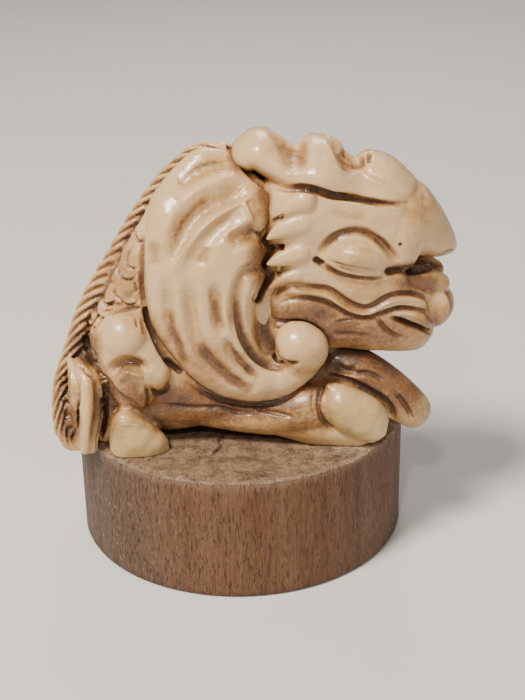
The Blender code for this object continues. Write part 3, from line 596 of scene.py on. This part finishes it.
def twistedRidge(points, normals):  # the ridge of the back is a rope of many strands
    line = through(ridgeRows(), 0.1)
    centre = line[:, :3]
    travel = np.concatenate([[0], np.cumsum(np.linalg.norm(np.diff(centre, axis=0), axis=1))])
    low, high = centre.min(axis=0) - back["strandReach"], centre.max(axis=0) + back["strandReach"]
    near = np.flatnonzero(np.all((points > low) & (points < high), axis=1))
    push, stainAndShade = np.zeros((2, len(points)))
    crown, hollow = back["strandStain"]
    for part in np.array_split(near, max(1, len(near) // back["pointsAtOnce"])):
        gaps = np.linalg.norm(points[part, None] - centre[None], axis=2)
        first = gaps.argmin(axis=1)
        away = gaps[np.arange(len(part)), first]
        ahead = centre[np.minimum(first + 1, len(centre) - 1)] - centre[np.maximum(first - 1, 0)]
        ahead /= np.linalg.norm(ahead, axis=1)[:, None]
        outward = np.cross(ahead, (0, 1, 0))
        offset = points[part] - centre[first]
        turn = np.arctan2(offset[:, 1], np.sum(offset * outward, axis=1))
        phase = travel[first] * 2 * np.pi / back["strandPitch"] + turn * back["strands"]
        groove = (0.5 - 0.5 * np.cos(phase)) ** 2
        ends = np.clip((1 - np.abs(2 * first / len(centre) - 1)) * back["strandEnds"], 0, 1)
        wall = np.clip((line[first, 3] + back["strandRim"] - away) / back["strandFade"], 0, 1) * ends
        push[part] = wall * (back["strandDepth"] * groove - back["strandLift"])
        stainAndShade[part] = wall * (crown + hollow * groove)
    return push, stainAndShade


shadeAndStainWashes = [  # painted shade under the jaw, throat, belly and legs, laid together with brown tint in whole hollows: centre (x, z), radii and strength on the pane
    ((-15.0, 6.4), (1.6, 2.6), 0.92), ((-12.2, 7.0), (2.2, 2.4), 0.62), ((-13.0, 9.4), (2.6, 2.4), 0.50),
    ((-4.0, 5.6), (8.6, 3.6), 0.88), ((3.0, 5.0), (6.5, 2.4), 0.76), ((7.4, 3.8), (4.4, 3.4), 0.62),
    ((12.2, 11.0), (3.8, 3.2), 0.94), ((16.0, 9.2), (4.6, 3.2), 0.86), ((18.8, 6.2), (3.0, 3.0), 0.78),
    ((20.8, 3.8), (2.4, 2.6), 0.50), ((0.4, 3.0), (16.0, 2.6), 0.50), ((-14.2, 2.4), (1.8, 3.4), 0.42),
    ((8.6, 7.6), (2.0, 2.4), 0.62), ((-12.2, 21.4), (2.8, 5.6), 0.46), ((-17.0, 13.0), (1.8, 2.6), 0.85),
    ((-19.6, 3.4), (1.4, 3.4), 0.74), ((-20.0, 8.0), (1.4, 3.2), 0.60), ((-16.2, 6.0), (1.2, 5.0), 0.52),
]
# painted shade under the jaw, along the mouth and down the back of the head, laid together with brown tint
headShadeAndStain = [
    ((8.0, 16.4), (6.4, 2.0), 0.70), ((15.0, 13.8), (7.4, 2.5), 0.66), ((11.6, 14.6), (4.0, 2.4), 0.74),
    ((20.0, 19.8), (3.6, 1.4), 0.70), ((19.4, 21.5), (3.6, 0.9), 0.95), ((21.6, 15.0), (2.2, 3.0), 0.55),
    ((13.6, 18.8), (6.0, 1.6), 0.34), ((13.4, 22.4), (5.0, 2.6), 0.26), ((19.6, 28.4), (2.4, 3.2), 0.40),
    ((20.4, 25.0), (3.4, 3.0), 0.24), ((6.0, 19.6), (4.0, 1.6), 0.40),
]
# painted shade on the lower mane and in its gaps, laid together with brown tint
maneShadeAndStain = [
    ((3.4, 29.4), (1.8, 2.8), 0.56), ((2.6, 22.4), (1.6, 3.6), 0.58), ((1.0, 34.2), (2.0, 1.5), 0.66),
    ((2.9, 14.8), (1.1, 2.8), 0.86), ((-3.6, 10.6), (5.0, 3.6), 0.36), ((7.6, 10.6), (3.4, 2.4), 0.30),
    ((-7.8, 13.6), (1.8, 4.2), 0.36), ((-3.4, 31.6), (4.6, 2.8), 0.16),
]


washShape = {"strength": 1.22, "edge": 1.4}


# lays soft ellipses of painted shade with brown tint, as seen on the pane
def shadeAndStainWash(points, pools):
    flat = onPane(points)
    stainAndShade = np.zeros(len(points))
    for centre, radii, strength in pools:
        spread = np.sum(((flat - centre) / np.array(radii)) ** 2, axis=1)
        strong = min(1.0, strength * washShape["strength"])
        stainAndShade = np.maximum(stainAndShade, strong * np.exp(-(spread ** washShape["edge"])))
    return stainAndShade


def hoofColour(points):
    flat = onPane(points)
    hoof = np.zeros(len(points))
    for centre, radii in (((-12.0, 1.2), (3.8, 3.0)), ((13.4, 4.0), (3.9, 4.0)), ((20.6, 4.4), (1.8, 2.4))):
        spread = np.sum(((flat - centre) / np.array(radii)) ** 2, axis=1)
        hoof = np.maximum(hoof, np.clip(1.7 - spread * 1.4, 0, 1))
    return hoof


def readMesh(mesh):
    points, normals = np.empty((2, len(mesh.vertices) * 3), np.float32)
    mesh.vertices.foreach_get("co", points)
    mesh.vertices.foreach_get("normal", normals)
    return points.reshape(-1, 3).astype(float), normals.reshape(-1, 3).astype(float)


def setPoints(mesh, points):
    mesh.vertices.foreach_set("co", points.astype(np.float32).ravel())
    mesh.update()


def addAttribute(mesh, name, values):
    mesh.attributes.new(name, "FLOAT", "POINT").data.foreach_set("value", values.astype(np.float32))


def applied(mesh, kind, settings):
    carrier = bpy.data.objects.new("carrier", mesh)
    bpy.context.scene.collection.objects.link(carrier)
    modifier = carrier.modifiers.new("work", kind)
    for key, value in settings.items():
        setattr(modifier, key, value)
    made = bpy.data.meshes.new_from_object(carrier.evaluated_get(bpy.context.evaluated_depsgraph_get()))
    bpy.data.objects.remove(carrier, do_unlink=True)
    bpy.data.meshes.remove(mesh)
    return made


feelers = {"seed": 7, "count": 11, "quickCount": 5, "reach": 5.0, "lift": 0.08, "outward": 1.02}


def occlusionShading(tree, points, normals):  # how closed in each point is: painted shade in hollows, under overhangs and between parts, which also stands for brown settled there
    rng = np.random.default_rng(feelers["seed"])
    rays = rng.normal(size=(feelers["count"], 3))
    rays /= np.linalg.norm(rays, axis=1)[:, None]
    reach = feelers["reach"]
    starts = [Vector(p) for p in points + normals * feelers["lift"]]
    hits = np.zeros(len(points))
    for ray in rays:
        turned = ray[None] + normals * feelers["outward"]
        turned /= np.linalg.norm(turned, axis=1)[:, None]
        for i, way in enumerate(turned.tolist()):
            found = tree.ray_cast(starts[i], way, reach)[3]
            if found is not None:
                hits[i] += 1 - found / reach
    return hits / len(rays)


def cutFeet(mesh):
    shape = bmesh.new()
    shape.from_mesh(mesh)
    whole = shape.verts[:] + shape.edges[:] + shape.faces[:]
    bmesh.ops.bisect_plane(shape, geom=whole, plane_co=(0, 0, 0), plane_no=(0, 0, -1), clear_outer=True)
    bmesh.ops.holes_fill(shape, edges=[e for e in shape.edges if e.is_boundary], sides=0)
    bmesh.ops.triangulate(shape, faces=shape.faces[:])
    shape.to_mesh(mesh)
    shape.free()


def carvedMesh(piece):
    clay = Clay()
    for model in piece["models"]:
        model(clay)
    soup = bpy.data.meshes.new("soup")
    soup.from_pydata(np.concatenate(clay.points), [], np.concatenate(clay.faces))
    mesh = applied(soup, "REMESH", {"mode": "VOXEL", "voxel_size": piece["voxel"]})
    mesh = applied(mesh, "SMOOTH", {"factor": 0.5, "iterations": clayLook["smoothing"]})
    print("clay fused,", len(mesh.vertices), "points")
    # the wash starts the tint: painted shade laid together with brown
    stainAndShade = shadeAndStainWash(readMesh(mesh)[0], piece["shadeAndStainWashes"])
    for cuts in piece["passes"]:
        points, normals = readMesh(mesh)
        depth, colour = strokes(points, normals, cuts)
        stainAndShade = np.maximum(stainAndShade, colour)
        setPoints(mesh, points - normals * depth[:, None])
    if modelBackAndTail in piece["models"]:
        points, normals = readMesh(mesh)
        push, colour = twistedRidge(points, normals)
        stainAndShade = np.maximum(stainAndShade, colour)
        setPoints(mesh, points - normals * push[:, None])
    # the attribute holds brown patina together with painted shade from the wash and the cuts
    addAttribute(mesh, "stainAndShade", stainAndShade)
    print("cuts carved")
    cutFeet(mesh)
    share = clayLook["mostTriangles"] / len(mesh.polygons)
    print("keeps", round(min(1.0, share), 2), "of", len(mesh.polygons), "triangles")
    return applied(mesh, "DECIMATE", {"ratio": share}) if share < 1 else mesh


# Materials. A socket carries the node graph it belongs to, so that maths reads as maths.

class Socket:
    def __init__(self, graph, socket):
        self.graph = graph
        self.socket = socket

    def math(self, operation, a, b=0.0, clamp=False):
        return self.graph.node("Math", {"operation": operation, "use_clamp": clamp}, {0: a, 1: b})

    def __add__(self, other):
        return self.math("ADD", self, other)

    __radd__ = __add__

    def __sub__(self, other):
        return self.math("SUBTRACT", self, other)

    def __rsub__(self, other):
        return self.math("SUBTRACT", other, self)

    def __mul__(self, other):
        return self.math("MULTIPLY", self, other)

    __rmul__ = __mul__

    def clip(self):
        return self.math("ADD", self, clamp=True)

    def step(self, low, high):
        return self.graph.node("MapRange", {"interpolation_type": "SMOOTHSTEP"}, {0: self, 1: low, 2: high})


class Graph:
    def __init__(self, name):
        self.material = bpy.data.materials.new(name)
        self.material.use_nodes = True
        self.tree = self.material.node_tree
        self.shader = self.tree.nodes["Principled BSDF"]

    def feed(self, spot, value):
        if isinstance(value, Socket):
            self.tree.links.new(value.socket, spot)
        elif hasattr(spot.default_value, "__len__") and len(spot.default_value) == 4:
            spot.default_value = (*value, 1.0)[:4]
        else:
            spot.default_value = value

    def node(self, kind, settings=(), inputs=(), output=0):
        node = self.tree.nodes.new("ShaderNode" + kind)
        for key, value in dict(settings).items():
            setattr(node, key, value)
        for key, value in dict(inputs).items():
            self.feed(node.inputs[key], value)
        return Socket(self, node.outputs[output])

    def place(self):
        return self.node("TexCoord", output=3)

    def stretched(self, vector, scale):
        return self.node("VectorMath", {"operation": "MULTIPLY"}, {0: vector, 1: scale})

    def noise(self, vector, scale, detail=3.0, roughness=0.5):
        inputs = {"Vector": vector, "Scale": scale, "Detail": detail, "Roughness": roughness}
        return self.node("TexNoise", {}, inputs)

    def mix(self, factor, a, b):
        return self.node("Mix", {"data_type": "RGBA"}, {0: factor, 6: a, 7: b}, output=2)

    def attribute(self, name):
        return self.node("Attribute", {"attribute_name": name}, output=2)

    def bump(self, height, distance):
        return self.node("Bump", {}, {"Height": height, "Distance": distance, "Strength": 1.0})

    def set(self, **values):
        for key, value in values.items():
            self.feed(self.shader.inputs[key.replace("_", " ")], value)


ivory = {
    "cream": (0.660, 0.445, 0.225),
    "straw": (0.480, 0.275, 0.105),
    "brown": (0.200, 0.088, 0.030),
    "umber": (0.068, 0.036, 0.020),
    "hoof": (0.500, 0.350, 0.145),
    "gloss": 0.27,
    "speckles": 2600.0,  # per metre, as all noise scales are
}


def ivoryMaterial():
    graph = Graph("ivory_resin")
    place = graph.place()
    # the occlusion attribute is painted shade in hollows and under overhangs, which also stands for brown
    # settled there
    stainAndShade, shut, hoof = (graph.attribute(name) for name in ("stainAndShade", "shut", "hoof"))
    wide = graph.noise(place, 170.0)
    patchy = graph.noise(place, 420.0, 3.0, 0.55)
    fine = graph.noise(place, 1100.0, 4.0, 0.62)
    speck = graph.noise(place, ivory["speckles"], 2.0)
    # brown patina with painted shade: the carried attribute and the occlusion attribute add up with random
    # tone, and the sum darkens the cream towards straw, brown and umber
    stainAndShadeAmount = (
        stainAndShade * (0.62 + patchy * 0.62) + shut * 0.85 - 0.06 + (wide - 0.5) * 0.34
        + (patchy - 0.5) * 0.26 + (fine - 0.5) * 0.22 + (stainAndShade * (speck - 0.5)) * 0.7
    ).clip()
    colour = graph.mix(stainAndShadeAmount.step(0.04, 0.42), ivory["cream"], ivory["straw"])
    colour = graph.mix(hoof * 0.75, colour, ivory["hoof"])
    colour = graph.mix(stainAndShadeAmount.step(0.32, 0.78), colour, ivory["brown"])
    colour = graph.mix(stainAndShadeAmount.step(0.82, 1.08), colour, ivory["umber"])
    graph.set(Base_Color=colour, Roughness=ivory["gloss"] + stainAndShadeAmount * 0.26 + (fine - 0.5) * 0.16)
    grain = (fine * 0.6 + speck * 0.4) * (0.5 + stainAndShade * 2.2)
    graph.set(Normal=graph.bump(grain + patchy * 0.6, 0.00009))
    graph.set(Subsurface_Weight=0.14, Subsurface_Scale=0.0010, Subsurface_Radius=(1.0, 0.55, 0.3))
    graph.set(Coat_Weight=0.25, Coat_Roughness=0.12, IOR=1.5)
    return graph.material


walnut = {
    "radius": 0.01999,
    "height": 0.0151,
    "sides": 480,
    "topRings": 48,
    "sideRings": 20,
    "rimDrops": (0.00018, 0.0004, 0.0008, 0.0014),
    "rimWidth": 0.0011,
    "rimWear": 0.00046,
    "topWear": 0.00026,
    "orange": (0.130, 0.050, 0.018),
    "tan": (0.175, 0.088, 0.040),
    "dark": (0.044, 0.021, 0.012),
    "grey": (0.095, 0.064, 0.046),
    "endGrain": (0.290, 0.185, 0.105),
    "endDark": (0.105, 0.058, 0.032),
    "pale": (0.430, 0.320, 0.220),
    "worn": ((0.0130, -0.0126), (0.0032, 0.0016)),  # a rubbed patch: centre and radii
    "crack": [(-0.0020, -0.0080), (-0.0026, -0.0100), (-0.0023, -0.0108), (-0.0031, -0.0126)],
}


def walnutMaterial():
    graph = Graph("walnut")
    place = graph.place()
    top, worn, rim, crack, grey = (graph.attribute(name) for name in ("top", "worn", "rim", "crack", "grey"))
    board = graph.noise(graph.stretched(place, (1.0, 1.0, 0.05)), 260.0, 3.0, 0.6)
    streak = graph.noise(graph.stretched(place, (1.0, 1.0, 0.035)), 1500.0, 4.0, 0.7)
    thread = graph.noise(graph.stretched(place, (1.0, 1.0, 0.10)), 3000.0, 3.0, 0.65)
    pores = graph.noise(graph.stretched(place, (1.0, 1.0, 0.16)), 5200.0, 2.0).step(0.58, 0.72)
    flecks = graph.noise(graph.stretched(place, (1.0, 1.0, 0.30)), 4800.0, 2.0).step(0.56, 0.74)
    seams = graph.noise(graph.stretched(place, (1.0, 1.0, 0.02)), 620.0, 2.0).step(0.58, 0.70)
    side = graph.mix((board * 0.8 + streak * 0.6 - 0.2).step(0.25, 0.75), walnut["orange"], walnut["tan"])
    # painted sheen: the side turns greyer on the left, where the light falls, and a little towards the right
    # edge; pale flecks grow there too
    side = graph.mix(grey * 0.85, side, walnut["grey"])
    side = graph.mix((thread.step(0.42, 0.75) * 0.50 + seams * 0.40).clip(), side, walnut["dark"])
    side = graph.mix(pores * 0.45, side, walnut["dark"])
    side = graph.mix(flecks * (0.16 + grey * 0.35), side, walnut["pale"])
    blotch = graph.noise(place, 520.0, 4.0, 0.65)
    crumb = graph.noise(place, 1700.0, 4.0, 0.72)
    mottle = (blotch * 0.7 + crumb * 0.6 - 0.15).step(0.30, 0.66)
    end = graph.mix(mottle, walnut["endDark"], walnut["endGrain"])
    chalky = (worn + rim * 0.45 + (blotch - 0.5) * 0.5).clip() * crumb.step(0.38, 0.62)
    end = graph.mix(chalky * 0.85, end, walnut["pale"])
    end = graph.mix((crack + crumb.step(0.66, 0.74) * 0.55).clip(), end, walnut["dark"])
    colour = graph.mix(top, side, end)
    # painted highlight: the rim term lightens the lit top edge, here and through the chalky mix above
    colour = graph.mix(rim * 0.35, colour, walnut["pale"])
    graph.set(Base_Color=colour, Roughness=0.66 + top * 0.2 - pores * 0.1)
    relief = streak * 0.5 + thread * 0.4 + crumb * (0.1 + top * 1.3) - pores * 0.8 - crack * 2.0
    graph.set(Normal=graph.bump(relief, 0.00022), IOR=1.45)
    return graph.material


def finished(name, mesh, material, node):
    piece = bpy.data.objects.new(name, mesh)
    bpy.context.scene.collection.objects.link(piece)
    mesh.materials.clear()
    mesh.materials.append(material)
    mesh.shade_smooth()
    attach(piece, "root")
    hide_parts(node)


kirinPieces = {  # the forms fused, the fineness of the mesh in millimetres, and the carving
    "kirin_head": {
        "models": (modelHead, modelCrest),
        "voxel": 0.165,
        "passes": [head["cuts"]],
        "shadeAndStainWashes": headShadeAndStain,
    },
    "kirin_mane": {
        "models": (modelMane,),
        "voxel": 0.165,
        "passes": [mane["gaps"] + mane["cuts"]],
        "shadeAndStainWashes": maneShadeAndStain,
    },
    "kirin_body": {
        "models": (modelTrunk, modelHaunch, modelForelegs, modelBackAndTail),
        "voxel": 0.19,
        "passes": [
            mane["gaps"] + haunch["cuts"] + forelegCuts + tail["cuts"],
            scaleCuts() + hairCuts(),
        ],
        "shadeAndStainWashes": shadeAndStainWashes,
    },
}


def makeKirin():
    meshes = {name: carvedMesh(piece) for name, piece in kirinPieces.items()}
    everyPoint, everyFace = [], []
    for mesh in meshes.values():
        start = len(everyPoint)
        everyPoint += [v.co[:] for v in mesh.vertices]
        everyFace += [[start + i for i in p.vertices] for p in mesh.polygons]
    tree = BVHTree.FromPolygons(everyPoint, everyFace)
    material = ivoryMaterial()
    low, high = (np.array(corner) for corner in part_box("kirin_figure"))
    low[2] = 0.0
    for name, mesh in meshes.items():
        points, normals = readMesh(mesh)
        # painted shade: the occlusion attribute darkens hollows, the parts under overhangs and the parts
        # between the pieces
        addAttribute(mesh, "shut", occlusionShading(tree, points, normals))
        addAttribute(mesh, "hoof", hoofColour(points))
        near = points[:, 2] < clayLook["footHeight"]
        points[near, 2] -= clayLook["footDrop"] * (1 - points[near, 2] / clayLook["footHeight"])
        world = (points + (0, -clayLook["forward"], clayLook["standsAt"])) / 1000
        setPoints(mesh, np.clip(world, low, high))
        finished(name, mesh, material, "kirin_figure")
        print(name, "shaded_and_stained,", len(mesh.polygons), "triangles")


def roughness(x, y, z, scale):
    return noise.fractal(Vector((x, y, z)) * scale, 1.0, 2.0, 4)


def makeStand():
    radius, height = walnut["radius"], walnut["height"]
    profile = [(radius * step, height) for step in np.linspace(0.0, 0.985, walnut["topRings"])]
    profile += [(radius, height - drop) for drop in walnut["rimDrops"]]
    profile += [(radius, z) for z in np.linspace(height - 0.0022, 0.0004, walnut["sideRings"])]
    profile += [(radius - 0.0003, 0.0), (0.0, 0.0)]
    shape = bmesh.new()
    verts = [shape.verts.new((r, 0, z)) for r, z in profile]
    edges = [shape.edges.new(pair) for pair in zip(verts, verts[1:])]
    bmesh.ops.spin(
        shape, geom=verts + edges, cent=(0, 0, 0), axis=(0, 0, 1), dvec=(0, 0, 0),
        angle=2 * math.pi, steps=walnut["sides"], use_merge=True,
    )
    bmesh.ops.remove_doubles(shape, verts=shape.verts[:], dist=1e-7)
    bmesh.ops.recalc_face_normals(shape, faces=shape.faces[:])
    for vert in shape.verts:
        x, y, z = vert.co
        away = max(1e-9, math.hypot(x, y))
        edge = max(0.0, 1 - math.hypot(radius - away, height - z) / walnut["rimWidth"])
        if edge > 0:  # a ragged sawn rim
            chip = walnut["rimWear"] * edge * max(0.0, 0.45 + roughness(x, y, 0, 900.0))
            vert.co.x -= x / away * chip
            vert.co.y -= y / away * chip
        if z > height - 1e-5:
            vert.co.z -= walnut["topWear"] * max(0.0, 0.35 + roughness(x, y, 3, 620.0)) * (0.5 + edge)
        elif edge <= 0 and z > 0.0005:
            score = walnut["topWear"] * 0.35 * max(0.0, roughness(x, y, z * 0.05, 1500.0))
            vert.co.x -= x / away * score
            vert.co.y -= y / away * score
    bmesh.ops.triangulate(shape, faces=shape.faces[:])
    mesh = bpy.data.meshes.new("walnut_disc")
    shape.to_mesh(mesh)
    shape.free()
    points, normals = readMesh(mesh)
    x, y, z = points.T
    flatTop = np.clip((normals[:, 2] - 0.25) / 0.4, 0, 1) * (z > height - 0.0009)
    addAttribute(mesh, "top", flatTop)
    # the rim mask marks the top edge, which the material lightens as a painted highlight
    addAttribute(mesh, "rim", np.clip(1 - np.hypot(radius - np.hypot(x, y), height - z) / 0.0010, 0, 1))
    (cx, cy), (rx, ry) = walnut["worn"]
    addAttribute(mesh, "worn", np.exp(-(((x - cx) / rx) ** 2 + ((y - cy) / ry) ** 2)))
    line = through(walnut["crack"], 0.0002)
    gaps = np.linalg.norm(points[:, None, :2] - line[None], axis=2).min(axis=1)
    addAttribute(mesh, "crack", np.clip(1 - gaps / 0.00028, 0, 1) * flatTop)
    # painted sheen: greyer towards the left of the side, where the light falls, and a little towards the
    # right edge
    sheenGreyLeft = np.clip((-x - 0.005) / 0.011, 0, 1) * 0.9
    sheenGreyRight = np.clip((x - 0.010) / 0.010, 0, 1) * 0.35
    addAttribute(mesh, "grey", sheenGreyLeft + sheenGreyRight)
    finished("walnut_disc", mesh, walnutMaterial(), "wooden_stand")


stage = {
    "floorColour": (0.70, 0.675, 0.64),
    "floorSize": 1.6,
    "lights": [  # name, place, size, power in watts, colour
        ("key", (-0.17, -0.18, 0.41), 0.13, 3.5, (1.0, 0.93, 0.83)),
        ("lamp", (-0.07, -0.36, 0.32), 0.03, 0.50, (1.0, 0.95, 0.88)),
        ("fill", (0.40, -0.30, 0.20), 0.34, 0.20, (1.0, 0.95, 0.90)),
        ("behind", (0.04, 0.34, 0.36), 0.20, 0.8, (1.0, 0.96, 0.92)),
    ],
    "sky": (0.95, 0.93, 0.90),
    "skyStrength": 0.22,
}


def makeStage():
    shape = bmesh.new()
    bmesh.ops.create_grid(shape, x_segments=1, y_segments=1, size=stage["floorSize"] / 2)
    mesh = bpy.data.meshes.new("floor")
    shape.to_mesh(mesh)
    shape.free()
    floor = bpy.data.objects.new("floor", mesh)
    bpy.context.scene.collection.objects.link(floor)
    floor.location.z = -0.00002
    graph = Graph("floor")
    graph.set(Base_Color=stage["floorColour"], Roughness=0.9)
    mesh.materials.append(graph.material)
    for name, place, size, power, colour in stage["lights"]:
        data = bpy.data.lights.new(name, "AREA")
        data.shape = "DISK"
        data.size = size
        data.energy = power
        data.color = colour
        light = bpy.data.objects.new(name, data)
        light.location = place
        light.rotation_euler = (Vector((0, 0, 0.028)) - Vector(place)).to_track_quat("-Z", "Y").to_euler()
        bpy.context.scene.collection.objects.link(light)
    world = bpy.data.worlds.new("studio")
    bpy.context.scene.world = world
    world.use_nodes = True
    background = world.node_tree.nodes["Background"]
    background.inputs["Color"].default_value = (*stage["sky"], 1.0)
    background.inputs["Strength"].default_value = stage["skyStrength"]


makeKirin()
print("kirin made")
makeStand()
print("stand made")
makeStage()
print("stage made")
